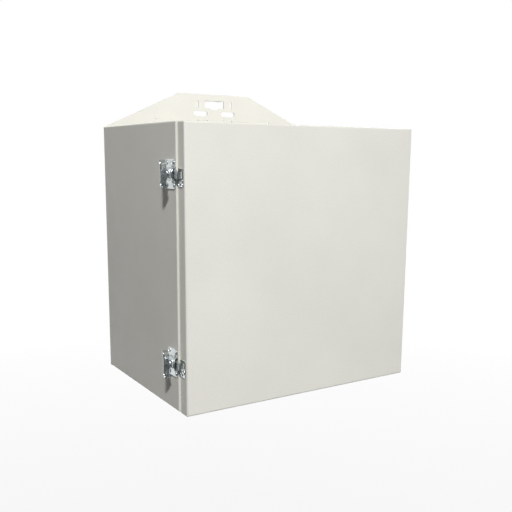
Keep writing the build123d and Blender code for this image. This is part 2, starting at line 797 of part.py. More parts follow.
# Equipment panel on collared studs
stud_places = ((-stud_x, -stud_z), (stud_x, -stud_z), (-stud_x, stud_z), (stud_x, stud_z))
with BuildPart() as panel_studs:
    with BuildSketch(front_plane(plate_thick)):
        with Locations((0, panel_middle_z)):
            with Locations(stud_places):
                Circle(5)
    extrude(amount=-panel_back - plate_thick)
    with BuildSketch(front_plane(-panel_back)):
        with Locations((0, panel_middle_z)):
            with Locations(stud_places):
                Circle(3)
    extrude(amount=12)
panel_studs.part.label = "panel_studs"
export_step(panel_studs.part, "parts/panel_studs.step")

with BuildPart() as equipment_panel:
    with BuildSketch(front_plane(-panel_back)):
        with Locations((0, panel_middle_z)):
            RectangleRounded(panel_width, panel_height, 4)
            with Locations(stud_places):
                Circle(3.3, mode=Mode.SUBTRACT)
        with Locations((-rail_screw_x, rail_z), (rail_screw_x, rail_z)):
            Circle(2.5, mode=Mode.SUBTRACT)
        with Locations((ground_x, ground_z)):
            Circle(3.05, mode=Mode.SUBTRACT)
    extrude(amount=panel_thick)
    with BuildSketch(front_plane(-panel_back)):
        with Locations((0, panel_middle_z)):
            with GridLocations(0, panel_height - panel_thick, 1, 2):
                Rectangle(panel_width - 60, panel_thick)
    extrude(amount=14)
equipment_panel.part.label = "equipment_panel"
export_step(equipment_panel.part, "parts/equipment_panel.step")

with BuildPart() as panel_nuts:
    with BuildSketch(front_plane(panel_face)):
        with Locations((0, panel_middle_z)):
            with Locations(stud_places):
                RegularPolygon(5.8, 6)
                Circle(3.05, mode=Mode.SUBTRACT)
    extrude(amount=5)
panel_nuts.part.label = "panel_nuts"
export_step(panel_nuts.part, "parts/panel_nuts.step")

# Top-hat rail and its screws
with BuildPart() as din_rail:
    with BuildSketch(Plane.YZ.offset(-rail_length / 2)):
        with BuildLine():
            Polyline(
                (-panel_face, rail_z - 13.5),
                (-panel_face, rail_z + 13.5),
                (-panel_face - 6.5, rail_z + 13.5),
                (-panel_face - 6.5, rail_z + 17.5),
                (-panel_face - 7.5, rail_z + 17.5),
                (-panel_face - 7.5, rail_z + 12.5),
                (-panel_face - 1, rail_z + 12.5),
                (-panel_face - 1, rail_z - 12.5),
                (-panel_face - 7.5, rail_z - 12.5),
                (-panel_face - 7.5, rail_z - 17.5),
                (-panel_face - 6.5, rail_z - 17.5),
                (-panel_face - 6.5, rail_z - 13.5),
                close=True,
            )
        make_face()
    extrude(amount=rail_length)
    with BuildSketch(front_plane(panel_face)):
        with Locations((-rail_screw_x, rail_z), (rail_screw_x, rail_z)):
            SlotOverall(15, 6.2)
        with Locations((0, rail_z), (-rail_screw_x + 25, rail_z), (rail_screw_x - 25, rail_z)):
            SlotOverall(15, 6.2)
    extrude(amount=1, mode=Mode.SUBTRACT)
din_rail.part.label = "din_rail"
export_step(din_rail.part, "parts/din_rail.step")

with BuildPart() as rail_screws:
    with BuildSketch(front_plane(panel_face + 1)):
        with Locations((-rail_screw_x, rail_z), (rail_screw_x, rail_z)):
            Circle(5)
    extrude(amount=2.5, taper=20)
    with BuildSketch(front_plane(panel_face + 1)):
        with Locations((-rail_screw_x, rail_z), (rail_screw_x, rail_z)):
            Circle(2.4)
    extrude(amount=-8)
rail_screws.part.label = "rail_screws"
export_step(rail_screws.part, "parts/rail_screws.step")


def rail_device(middle_x, width, section):
    """Closed body on the rail, from a side section of depths from the panel and heights."""
    with BuildPart() as device:
        with BuildSketch(Plane.YZ.offset(middle_x - width / 2)):
            with BuildLine():
                Polyline(*[(-panel_face - depth, rail_z + height) for depth, height in section], close=True)
            make_face()
        extrude(amount=width)
    return device.part


# Two-pole breaker with its toggle
breaker_section = (
    (4.5, -42), (46, -42), (47, -41), (47, -24), (60, -22), (62, -20),
    (62, 20), (60, 22), (47, 24), (47, 41), (46, 42), (4.5, 42),
    (4.5, 18), (8.5, 18), (8.5, -18), (4.5, -18),
)
with BuildPart() as breaker:
    add(rail_device(breaker_x, breaker_width, breaker_section))
    with BuildSketch(front_plane(panel_face + 62)):
        with Locations((breaker_x, rail_z)):
            Rectangle(26, 15)
    extrude(amount=-15.5, mode=Mode.SUBTRACT)
    with BuildSketch(Plane.YZ.offset(breaker_x - 15.6)):
        with Locations((-panel_face - toggle_depth, rail_z)):
            Circle(1.55)
    extrude(amount=31.2, mode=Mode.SUBTRACT)
    with BuildSketch(Plane.XY.offset(rail_z - breaker_height / 2)):
        with Locations((breaker_x, -panel_face - breaker_entry)):
            with GridLocations(breaker_width / 2, 0, 2, 1):
                Circle(lead_radius + 0.5)
    extrude(amount=14, mode=Mode.SUBTRACT)
    with BuildSketch(front_plane(panel_face + 47)):
        with Locations((breaker_x, rail_z)):
            with GridLocations(breaker_width / 2, 65, 2, 2):
                Circle(3)
    extrude(amount=-4, mode=Mode.SUBTRACT)
breaker.part.label = "breaker"
export_step(breaker.part, "parts/breaker.step")

with BuildPart() as breaker_toggle:
    with BuildSketch(Plane.YZ.offset(breaker_x - 12.7)):
        with Locations((-panel_face - toggle_depth, rail_z)):
            Circle(6.5)
            with Locations(Rotation(0, 0, -toggle_tilt)):
                with Locations((-9.5, 0)):
                    RectangleRounded(15, 4.6, 1.6)
    extrude(amount=25.4)
    with BuildSketch(Plane.YZ.offset(breaker_x - 15.4)):
        with Locations((-panel_face - toggle_depth, rail_z)):
            Circle(1.5)
    extrude(amount=30.8)
breaker_toggle.part.label = "breaker_toggle"
export_step(breaker_toggle.part, "parts/breaker_toggle.step")

# Terminal blocks side by side on the rail
terminal_section = (
    (4.5, -24), (30, -24), (40, -15), (44, -15), (44, 15), (40, 15), (30, 24), (4.5, 24),
    (4.5, 18), (8.5, 18), (8.5, -18), (4.5, -18),
)
with BuildPart() as terminal_blocks:
    for number in range(terminal_count):
        add(rail_device(terminal_first_x + number * terminal_pitch, terminal_pitch - 0.3, terminal_section))
    with BuildSketch(Plane.XY.offset(rail_z - terminal_height / 2)):
        with Locations((terminal_x, -panel_face - terminal_entry)):
            with GridLocations(terminal_pitch, 0, terminal_count, 1):
                Circle(lead_radius + 0.4)
    extrude(amount=10, mode=Mode.SUBTRACT)
    with BuildSketch(front_plane(panel_face + 44)):
        with Locations((terminal_x, rail_z)):
            with GridLocations(terminal_pitch, 18, terminal_count, 2):
                Circle(2.6)
    extrude(amount=-5, mode=Mode.SUBTRACT)
terminal_blocks.part.label = "terminal_blocks"
export_step(terminal_blocks.part, "parts/terminal_blocks.step")

# Ground stud and nut
with BuildPart() as ground_stud:
    with BuildSketch(front_plane(-panel_back)):
        with Locations((ground_x, ground_z)):
            Circle(3)
    extrude(amount=26)
    with BuildSketch(front_plane(-panel_back)):
        with Locations((ground_x, ground_z)):
            RegularPolygon(6.5, 6)
    extrude(amount=-4)
ground_stud.part.label = "ground_stud"
export_step(ground_stud.part, "parts/ground_stud.step")

with BuildPart() as ground_nut:
    with BuildSketch(front_plane(panel_face)):
        with Locations((ground_x, ground_z)):
            Circle(8)
            Circle(3.05, mode=Mode.SUBTRACT)
    extrude(amount=1.2)
    with BuildSketch(front_plane(panel_face + 1.2)):
        with Locations((ground_x, ground_z)):
            RegularPolygon(5.8, 6)
            Circle(3.05, mode=Mode.SUBTRACT)
    extrude(amount=5)
ground_nut.part.label = "ground_nut"
export_step(ground_nut.part, "parts/ground_nut.step")

# Gland plate under the floor's cut-out
with BuildPart() as gland_plate:
    with BuildSketch(Plane.XY.offset(gland_seat)):
        with Locations((0, gland_y)):
            RectangleRounded(gland_plate_width, gland_plate_depth, 5)
        with Locations(gland_places):
            Circle(gland_thread + 0.2, mode=Mode.SUBTRACT)
        with Locations(gland_plate_screw_places):
            Circle(2.8, mode=Mode.SUBTRACT)
    extrude(amount=sheet)
gland_plate.part.label = "gland_plate"
export_step(gland_plate.part, "parts/gland_plate.step")

with BuildPart() as gland_plate_screws:
    with BuildSketch(Plane.XY.offset(gland_seat)):
        with Locations(gland_plate_screw_places):
            Circle(4.6)
    extrude(amount=-2.8, taper=20)
    with BuildSketch(Plane.XY.offset(gland_seat)):
        with Locations(gland_plate_screw_places):
            Circle(2.45)
    extrude(amount=10)
gland_plate_screws.part.label = "gland_plate_screws"
export_step(gland_plate_screws.part, "parts/gland_plate_screws.step")

# Cable glands through the gland plate: body, locknut and dome cap
with BuildPart() as gland_bodies:
    with BuildSketch(Plane.XY.offset(gland_seat - 6)):
        with Locations(gland_places):
            RegularPolygon(17.3, 6)
    extrude(amount=6)
    with BuildSketch(Plane.XY.offset(gland_seat)):
        with Locations(gland_places):
            Circle(gland_thread)
    extrude(amount=12)
    with BuildSketch(Plane.XY.offset(gland_seat - 18)):
        with Locations(gland_places):
            Circle(gland_thread - 1.5)
    extrude(amount=12)
    with BuildSketch(Plane.XY.offset(gland_seat - 18)):
        with Locations(gland_places):
            Circle(gland_bore)
    extrude(amount=30, mode=Mode.SUBTRACT)
gland_bodies.part.label = "gland_bodies"
export_step(gland_bodies.part, "parts/gland_bodies.step")

with BuildPart() as gland_locknuts:
    with BuildSketch(Plane.XY.offset(gland_seat + sheet)):
        with Locations(gland_places):
            RegularPolygon(17.3, 6)
            Circle(gland_thread + 0.05, mode=Mode.SUBTRACT)
    extrude(amount=5)
gland_locknuts.part.label = "gland_locknuts"
export_step(gland_locknuts.part, "parts/gland_locknuts.step")

with BuildPart() as gland_caps:
    with BuildSketch(Plane.XY.offset(gland_seat - 6.5)):
        with Locations(gland_places):
            RegularPolygon(15.6, 6)
    extrude(amount=-10)
    with BuildSketch(Plane.XY.offset(gland_seat - 16.5)):
        with Locations(gland_places):
            Circle(13.4)
    extrude(amount=-7, taper=20)
    with BuildSketch(Plane.XY.offset(gland_seat - 6.5)):
        with Locations(gland_places):
            Circle(gland_thread - 1.45)
    extrude(amount=-12, mode=Mode.SUBTRACT)
    with BuildSketch(Plane.XY.offset(gland_seat - 18)):
        with Locations(gland_places):
            Circle(gland_bore)
    extrude(amount=-6, mode=Mode.SUBTRACT)
gland_caps.part.label = "gland_caps"
export_step(gland_caps.part, "parts/gland_caps.step")

# Vent plugs through the floor
with BuildPart() as vent_plugs:
    with BuildSketch(Plane.XY.offset(-body_height / 2)):
        with Locations(vent_places):
            Circle(9)
    extrude(amount=-4, taper=12)
    with BuildSketch(Plane.XY.offset(-body_height / 2)):
        with Locations(vent_places):
            Circle(vent_radius)
    extrude(amount=sheet)
    with BuildSketch(Plane.XY.offset(floor_z)):
        with Locations(vent_places):
            Circle(8)
    extrude(amount=3)
vent_plugs.part.label = "vent_plugs"
export_step(vent_plugs.part, "parts/vent_plugs.step")
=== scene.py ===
"""Finish, stage, light and camera for the battery enclosure.

Metres, in the enclosure's own frame: X right, Y back and Z up, seen from the door,
with the origin on the back of the mounting plate. Turned and pressed pieces are
shaped in millimetres, and scaled when they are finished.
"""

import json
import math

import bmesh
import bpy
from mathutils import Matrix, Vector

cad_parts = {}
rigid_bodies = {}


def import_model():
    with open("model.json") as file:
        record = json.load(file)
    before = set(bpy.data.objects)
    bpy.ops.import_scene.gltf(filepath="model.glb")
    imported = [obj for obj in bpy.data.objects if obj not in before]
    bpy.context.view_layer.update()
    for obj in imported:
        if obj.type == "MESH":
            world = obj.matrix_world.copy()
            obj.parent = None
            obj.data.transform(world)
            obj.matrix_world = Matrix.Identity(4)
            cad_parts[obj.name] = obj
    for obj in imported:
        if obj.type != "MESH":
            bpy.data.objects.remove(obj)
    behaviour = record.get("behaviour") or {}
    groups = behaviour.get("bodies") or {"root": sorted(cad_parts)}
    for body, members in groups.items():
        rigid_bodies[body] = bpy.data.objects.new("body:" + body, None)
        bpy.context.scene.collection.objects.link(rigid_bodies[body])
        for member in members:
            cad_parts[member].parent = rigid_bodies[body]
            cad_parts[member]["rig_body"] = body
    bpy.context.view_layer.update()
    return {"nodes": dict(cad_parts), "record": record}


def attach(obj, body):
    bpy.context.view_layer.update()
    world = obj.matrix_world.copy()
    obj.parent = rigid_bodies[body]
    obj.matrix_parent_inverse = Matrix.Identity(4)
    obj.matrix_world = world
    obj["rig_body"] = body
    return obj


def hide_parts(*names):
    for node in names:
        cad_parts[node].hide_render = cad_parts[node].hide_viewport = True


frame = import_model()
nodes = frame["nodes"]

MM = 0.001
WELD = 0.002 * MM

# Camera: its place, its turn to the right of the Y axis, its dip and its roll
CAMERA_PLACE = Vector((-0.8083, -1.4802, 0.2024))
CAMERA_TURN = math.radians(32.10)
CAMERA_DIP = math.radians(10.05)
CAMERA_ROLL = math.radians(0.41)
CAMERA_LENS, CAMERA_SENSOR = 49.12, 36
CAMERA_SHIFT = 0.05

# Lamps, with their powers in watts
KEY_PLACE = Vector((-1.874, -3.226, 2.769))
KEY_AIM = Vector((0, -0.19, -2.0))
KEY_SIZE, KEY_POWER = 0.42, 160
REAR_PLACE = Vector((3.0, 2.8, 1.6))
REAR_AIM = Vector((0, -0.1, 0))
REAR_SIZE, REAR_POWER = 2.4, 150

# Room: light from all round, more of it from the front, and what reflections see from front to rear
AMBIENT, AMBIENT_FRONT = 0.05, 2.2
FRONT_AXIS = Vector((0.6, -0.8, 0.05)).normalized()
FRONT_FOCUS = 6
REFLECTED_FRONT, REFLECTED_REAR = 0.08, 0.95
ROOM_FRONT, ROOM_REAR = -0.2, 1
BACKGROUND = (1.0, 1.0, 1.0)

# Floor: its size, its tone, the share of background in it near and far, and its front and rear
FLOOR_Z, FLOOR_RADIUS, FLOOR_AROUND = -1.75, 9, 96
FLOOR_TONE, FLOOR_ROUGHNESS = 0.15, 0.9
FADE_NEAR, FADE_FAR = 0.9, 1.0
FADE_START, FADE_END = 1.5, 6.0
FLOOR_FRONT, FLOOR_REAR = -0.5, 1.5

# Colours, linear
POWDER = (0.80, 0.79, 0.73)
ZINC = (0.74, 0.79, 0.80)
GALVANISED = (0.60, 0.61, 0.62)
STAINLESS = (0.62, 0.61, 0.59)
POST_METAL = (0.34, 0.34, 0.36)
TINNED_COPPER = (0.66, 0.64, 0.60)
BRASS = (0.72, 0.50, 0.20)
FOAM = (0.018, 0.018, 0.019)
BATTERY_BLACK = (0.032, 0.033, 0.036)
LEAD_BLACK = (0.016, 0.016, 0.017)
LEAD_RED = (0.42, 0.018, 0.015)
BREAKER_GREY = (0.55, 0.55, 0.52)
TOGGLE_BLACK = (0.015, 0.015, 0.017)
TERMINAL_GREY = (0.24, 0.26, 0.27)
NYLON_BLACK = (0.015, 0.015, 0.015)

# Sizes of the patterns in the finishes
PAINT_CLOUD, PAINT_WAVE, PAINT_PATCH, PAINT_SPECK = 160 * MM, 120 * MM, 12 * MM, 3 * MM
METAL_CLOUD, METAL_PATCH = 9 * MM, 4 * MM
CRYSTAL, CRYSTAL_GRAIN = 9 * MM, 1 * MM
BRUSHED = (1, 1, 0.04)
PLASTIC_CLOUD, PLASTIC_PATCH = 35 * MM, 6 * MM

# Range that most values of a noise fall in, how rough its finer levels are, and the same range of cells
NOISE_LOW, NOISE_HIGH, NOISE_ROUGHNESS = 0.3, 0.7, 0.55
CELL_LOW, CELL_HIGH = 0.1, 0.9

# Darkest and lightest share of the colour in the mottling of each finish, and the shine of paint
PAINT_DARK, PAINT_LIGHT, PAINT_SHINE = 0.965, 1.02, 0.25
METAL_DARK, METAL_LIGHT = 0.78, 1.12
CRYSTAL_DARK, CRYSTAL_LIGHT = 0.72, 1.15
PLASTIC_DARK, PLASTIC_LIGHT = 0.85, 1.12

# Sockets of a colour mix
MIX_FIRST, MIX_SECOND, MIX_RESULT = 6, 7, 2


# Nodes
def new_material(name):
    """An empty node material and its main shader."""
    material = bpy.data.materials.new(name)
    material.use_nodes = True
    shader = material.node_tree.nodes["Principled BSDF"]
    return material, material.node_tree, shader


def feed(tree, socket, value):
    """Gives an input a value: another socket, a number or a colour."""
    if isinstance(value, bpy.types.NodeSocket):
        tree.links.new(value, socket)
    elif isinstance(value, (int, float)):
        socket.default_value = value
    else:
        socket.default_value = (*value, 1)


def place_coordinates(tree, stretch=(1, 1, 1)):
    """Object coordinates, in metres, stretched along the axes."""
    source = tree.nodes.new("ShaderNodeTexCoord")
    mapping = tree.nodes.new("ShaderNodeMapping")
    mapping.inputs["Scale"].default_value = stretch
    tree.links.new(source.outputs["Object"], mapping.inputs["Vector"])
    return mapping.outputs["Vector"]


def noise(tree, vector, size, detail=4.0):
    """Noise whose features are about the given size."""
    node = tree.nodes.new("ShaderNodeTexNoise")
    node.inputs["Scale"].default_value = 1 / size
    node.inputs["Detail"].default_value = detail
    node.inputs["Roughness"].default_value = NOISE_ROUGHNESS
    tree.links.new(vector, node.inputs["Vector"])
    return node.outputs["Fac"]


def ramp(tree, value, stops):
    """Colours by value, between two or three stops of a position and a colour."""
    node = tree.nodes.new("ShaderNodeValToRGB")
    elements = node.color_ramp.elements
    while len(elements) < len(stops):
        elements.new(0.5)
    for element, (position, colour) in zip(elements, stops):
        element.position = position
        element.color = (*colour, 1)
    tree.links.new(value, node.inputs["Fac"])
    return node.outputs["Color"]


def spread(tree, value, low, high, start=NOISE_LOW, end=NOISE_HIGH):
    """A value from start to end mapped to low to high."""
    node = tree.nodes.new("ShaderNodeMapRange")
    node.inputs["From Min"].default_value = start
    node.inputs["From Max"].default_value = end
    node.inputs["To Min"].default_value = low
    node.inputs["To Max"].default_value = high
    tree.links.new(value, node.inputs["Value"])
    return node.outputs["Result"]


def mix_colour(tree, factor, first, second, mode="MIX"):
    """Mix of two colours."""
    node = tree.nodes.new("ShaderNodeMix")
    node.data_type = "RGBA"
    node.blend_type = mode
    feed(tree, node.inputs["Factor"], factor)
    feed(tree, node.inputs[MIX_FIRST], first)
    feed(tree, node.inputs[MIX_SECOND], second)
    return node.outputs[MIX_RESULT]


def mix_shader(tree, factor, first, second):
    """Mix of two shaders, all of the second where the factor is 1."""
    node = tree.nodes.new("ShaderNodeMixShader")
    for socket, value in zip(node.inputs, (factor, first, second)):
        tree.links.new(value, socket)
    return node.outputs[0]


def calculated(tree, operation, first, second):
    """Result of a mathematical operation on two values."""
    node = tree.nodes.new("ShaderNodeMath")
    node.operation = operation
    feed(tree, node.inputs[0], first)
    feed(tree, node.inputs[1], second)
    return node.outputs[0]


def bump(tree, height, distance, strength=1.0, under=None):
    """Bump from a height, over another bump where one is given."""
    node = tree.nodes.new("ShaderNodeBump")
    node.inputs["Distance"].default_value = distance
    node.inputs["Strength"].default_value = strength
    tree.links.new(height, node.inputs["Height"])
    if under is not None:
        tree.links.new(under, node.inputs["Normal"])
    return node.outputs["Normal"]


def mottled(tree, value, colour, dark, light, start=NOISE_LOW, end=NOISE_HIGH):
    """A colour that goes from a darker share of itself to a lighter one."""
    return ramp(tree, value, ((start, shade(colour, dark)), (end, shade(colour, light))))


def shade(colour, factor):
    """A colour made lighter or darker."""
    return tuple(min(1.0, part * factor) for part in colour)


# Finishes
def painted(name, colour, peel=1.4 * MM, depth=0.05 * MM, rough=(0.36, 0.5)):
    """Powder coat: faint mottling, fine orange peel and slow waves of the sheet."""
    material, tree, shader = new_material(name)
    where = place_coordinates(tree)
    cloud = noise(tree, where, PAINT_CLOUD, 3)
    tone = mottled(tree, cloud, colour, PAINT_DARK, PAINT_LIGHT)
    dots = noise(tree, where, PAINT_SPECK, 6)
    speck = ramp(tree, dots, ((0.42, (0.97, 0.97, 0.965)), (0.58, (1, 1, 1))))
    tree.links.new(mix_colour(tree, 1.0, tone, speck, "MULTIPLY"), shader.inputs["Base Color"])
    dull = spread(tree, noise(tree, where, PAINT_PATCH, 5), *rough)
    tree.links.new(dull, shader.inputs["Roughness"])
    waves = bump(tree, noise(tree, where, PAINT_WAVE, 1), 0.5 * MM, 0.5)
    tree.links.new(bump(tree, noise(tree, where, peel, 2), depth, 0.6, waves), shader.inputs["Normal"])
    shader.inputs["Specular IOR Level"].default_value = PAINT_SHINE
    return material


def plated(name, colour, rough=(0.22, 0.4), stretch=(1, 1, 1), grain=0.6 * MM, depth=0.02 * MM, dents=0):
    """Bright plating or bare metal: cloudy tone, fine grain, dull patches and shallow dents."""
    material, tree, shader = new_material(name)
    shader.inputs["Metallic"].default_value = 1.0
    where = place_coordinates(tree, stretch)
    cloud = noise(tree, where, METAL_CLOUD, 5)
    dark, bright = shade(colour, METAL_DARK), shade(colour, METAL_LIGHT)
    tone = ramp(tree, cloud, ((NOISE_LOW, dark), (0.55, colour), (0.8, bright)))
    tree.links.new(tone, shader.inputs["Base Color"])
    dull = spread(tree, noise(tree, where, METAL_PATCH, 4), *rough)
    tree.links.new(dull, shader.inputs["Roughness"])
    wavy = bump(tree, noise(tree, where, METAL_PATCH, 2), dents) if dents else None
    tree.links.new(bump(tree, noise(tree, where, grain, 3), depth, 0.7, wavy), shader.inputs["Normal"])
    return material


def spangled(name, colour, rough=(0.32, 0.5)):
    """Hot-dip galvanised sheet with its crystals."""
    material, tree, shader = new_material(name)
    shader.inputs["Metallic"].default_value = 1.0
    where = place_coordinates(tree)
    cells = tree.nodes.new("ShaderNodeTexVoronoi")
    cells.inputs["Scale"].default_value = 1 / CRYSTAL
    tree.links.new(where, cells.inputs["Vector"])
    grey = tree.nodes.new("ShaderNodeRGBToBW")
    tree.links.new(cells.outputs["Color"], grey.inputs["Color"])
    value = grey.outputs["Val"]
    tone = mottled(tree, value, colour, CRYSTAL_DARK, CRYSTAL_LIGHT, CELL_LOW, CELL_HIGH)
    tree.links.new(tone, shader.inputs["Base Color"])
    dull = spread(tree, value, *rough, CELL_LOW, CELL_HIGH)
    tree.links.new(dull, shader.inputs["Roughness"])
    fine = noise(tree, where, CRYSTAL_GRAIN, 3)
    tree.links.new(bump(tree, fine, 0.02 * MM, 0.6), shader.inputs["Normal"])
    return material


def moulded(name, colour, rough=(0.38, 0.55), grain=0.5 * MM, depth=0.03 * MM):
    """Moulded plastic or rubber with a fine grain and faint mottling."""
    material, tree, shader = new_material(name)
    where = place_coordinates(tree)
    cloud = noise(tree, where, PLASTIC_CLOUD, 4)
    tone = mottled(tree, cloud, colour, PLASTIC_DARK, PLASTIC_LIGHT)
    tree.links.new(tone, shader.inputs["Base Color"])
    dull = spread(tree, noise(tree, where, PLASTIC_PATCH, 4), *rough)
    tree.links.new(dull, shader.inputs["Roughness"])
    tree.links.new(bump(tree, noise(tree, where, grain, 2), depth, 0.8), shader.inputs["Normal"])
    return material


# A finish for each material slot, with what differs from that finish's usual values
FINISHES = {
    "powder_coat": painted("powder_coat", POWDER),
    "galvanised_sheet": spangled("galvanised_sheet", GALVANISED),
    "foam_gasket": moulded("foam_gasket", FOAM, (0.75, 0.95), grain=0.8 * MM, depth=0.25 * MM),
    "stainless": plated("stainless", STAINLESS, (0.25, 0.38), stretch=BRUSHED, grain=0.5 * MM),
    "zinc_plate": plated("zinc_plate", ZINC, (0.2, 0.38), dents=0.12 * MM),
    "battery_case": moulded("battery_case", BATTERY_BLACK, (0.42, 0.6), grain=0.7 * MM, depth=0.08 * MM),
    "post_metal": plated("post_metal", POST_METAL, (0.4, 0.6)),
    "tinned_copper": plated("tinned_copper", TINNED_COPPER, (0.25, 0.42)),
    "black_insulation": moulded("black_insulation", LEAD_BLACK, (0.35, 0.5), grain=2 * MM),
    "red_insulation": moulded("red_insulation", LEAD_RED, (0.35, 0.5), grain=2 * MM),
    "breaker_case": moulded("breaker_case", BREAKER_GREY, (0.35, 0.5)),
    "toggle_plastic": moulded("toggle_plastic", TOGGLE_BLACK, (0.25, 0.38)),
    "terminal_plastic": moulded("terminal_plastic", TERMINAL_GREY, (0.42, 0.58)),
    "brass": plated("brass", BRASS, (0.22, 0.36)),
    "black_nylon": moulded("black_nylon", NYLON_BLACK, (0.42, 0.58), grain=0.6 * MM, depth=0.06 * MM),
}

SLOTS = {part["node"]: part["material_slot"] for part in frame["record"]["subparts"]}
for node_name, node in nodes.items():
    node.data.materials.clear()
    node.data.materials.append(FINISHES[SLOTS[node_name]])


# Ways that a piece can face: the turn that points its Z axis that way, and the axis and its sign
FACING = {
    "left": Matrix.Rotation(math.radians(-90), 4, "Y"),
    "right": Matrix.Rotation(math.radians(90), 4, "Y"),
    "front": Matrix.Rotation(math.radians(90), 4, "X"),
    "up": Matrix.Identity(4),
    "down": Matrix.Rotation(math.radians(180), 4, "X"),
}
OUTWARD = {"left": (0, -1), "right": (0, 1), "front": (1, -1), "up": (2, 1), "down": (2, -1)}


def solids(node_name):
    """Lowest and highest corner of each separate solid of a node, in millimetres."""
    form = bmesh.new()
    form.from_mesh(nodes[node_name].data)
    bmesh.ops.remove_doubles(form, verts=form.verts, dist=WELD)
    unseen = set(form.verts)
    corners = []
    while unseen:
        rim = {unseen.pop()}
        solid = set(rim)
        while rim:
            rim = {edge.other_vert(point) for point in rim for edge in point.link_edges} & unseen
            unseen -= rim
            solid |= rim
        low = [round(min(point.co[axis] for point in solid) / MM, 3) for axis in range(3)]
        high = [round(max(point.co[axis] for point in solid) / MM, 3) for axis in range(3)]
        corners.append((low, high))
    form.free()
    return sorted(corners)


def middle(low, high):
    """Point halfway between two corners."""
    return [(start + end) / 2 for start, end in zip(low, high)]


def seats(node_name, facing, rise):
    """Seat of each of a node's fasteners, whose heads have this rise, and the depth below it."""
    axis, sign = OUTWARD[facing]
    seated = []
    for low, high in solids(node_name):
        seat = middle(low, high)
        seat[axis] = (high if sign > 0 else low)[axis] - sign * rise
        seated.append((seat, round(high[axis] - low[axis] - rise, 3)))
    return seated


def in_front(node_name, across, up, behind):
    """Places on each solid of a node: steps from its middle, and how far behind its front."""
    places = []
    for low, high in solids(node_name):
        x, y, z = middle(low, high)
        places += [(x + step, low[1] + behind, z + rise) for step in across for rise in up]
    return places


# Forms
THREAD_PITCH, THREAD_DEPTH, THREAD_ROWS = 1.0, 0.55, 4
SHARP_EDGE = math.radians(32)
AROUND, FINE_AROUND = 32, 48


def ring(form, where, radius, height, flats, around, thread):
    """One row of a turned form: a point on its axis, or a ring round it."""
    if radius == 0:
        return [form.verts.new(where @ Vector((0, 0, height)))]
    row = []
    for step in range(around):
        angle = 2 * math.pi * step / around
        reach = radius
        if flats:
            reach = min(reach, flats / math.cos(angle % (math.pi / 3) - math.pi / 6))
        if radius == thread:
            turn = (height / THREAD_PITCH - angle / (2 * math.pi)) % 1
            reach -= THREAD_DEPTH * abs(2 * turn - 1)
        point = Vector((reach * math.cos(angle), reach * math.sin(angle), height))
        row.append(form.verts.new(where @ point))
    return row


def turned(form, profile, place, facing, flats=0.0, around=AROUND, closed=False, thread=None):
    """A turned form, from a profile of radii and heights along the way that it faces.

    Flats make it hexagonal, of that half width. Rows of the thread's radius carry a thread.
    A closed profile makes a ring, and otherwise the profile starts and ends on the axis.
    """
    where = Matrix.Translation(Vector(place)) @ FACING[facing]
    rows = [ring(form, where, radius, height, flats, around, thread) for radius, height in profile]
    pairs = list(zip(rows, rows[1:]))
    if closed:
        pairs.append((rows[-1], rows[0]))
    for low, high in pairs:
        for step in range(around):
            after = (step + 1) % around
            if len(low) == 1 and len(high) > 1:
                form.faces.new((low[0], high[after], high[step]))
            elif len(high) == 1 and len(low) > 1:
                form.faces.new((low[step], low[after], high[0]))
            elif len(low) > 1:
                form.faces.new((low[step], low[after], high[after], high[step]))


def threaded(radius, low, high):
    """Profile rows that are close enough together to carry a thread."""
    steps = round((high - low) / THREAD_PITCH * THREAD_ROWS)
    return [(radius, low + (high - low) * step / steps) for step in range(steps + 1)]


def skinned(form, rings):
    """Faces along a row of closed rings of one count, and over both ends."""
    for near, far in zip(rings, rings[1:]):
        for step in range(len(near)):
            after = (step + 1) % len(near)
            form.faces.new((near[step], near[after], far[after], far[step]))
    form.faces.new(rings[0])
    form.faces.new(list(reversed(rings[-1])))


def finished(name, form, body, slot, replaced=(), smooth=35):
    """The form as an object in metres, with its finish, body and the nodes that it stands for."""
    bmesh.ops.recalc_face_normals(form, faces=form.faces)
    bmesh.ops.scale(form, vec=(MM, MM, MM), verts=form.verts)
    mesh = bpy.data.meshes.new(name)
    form.to_mesh(mesh)
    form.free()
    mesh.polygons.foreach_set("use_smooth", [True] * len(mesh.polygons))
    mesh.set_sharp_from_angle(angle=math.radians(smooth))
    piece = bpy.data.objects.new(name, mesh)
    bpy.context.scene.collection.objects.link(piece)
    mesh.materials.append(FINISHES[slot])
    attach(piece, body)
    if replaced:
        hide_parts(*replaced)
    return piece


def in_place_of(node_name, ending, form, smooth=35):
    """The form, finished as the piece that stands for a node."""
    body = nodes[node_name]["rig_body"]
    return finished(f"{node_name}_{ending}", form, body, SLOTS[node_name], (node_name,), smooth)


def eased(node_names, width):
    """Rounds the sharp edges of nodes with modifiers over their own meshes."""
    for node_name in node_names:
        node = nodes[node_name]
        weld = node.modifiers.new("weld", "WELD")
        weld.merge_threshold = WELD
        bevel = node.modifiers.new("ease", "BEVEL")
        bevel.width = width * MM
        bevel.segments = 2
        bevel.limit_method = "ANGLE"
        bevel.angle_limit = SHARP_EDGE
        bevel.miter_outer = "MITER_ARC"
        bevel.harden_normals = True


# Rivets
RIVET_SHANK, RIVET_RISE, RIVET_TAIL = 2.3, 1.8, 1.0


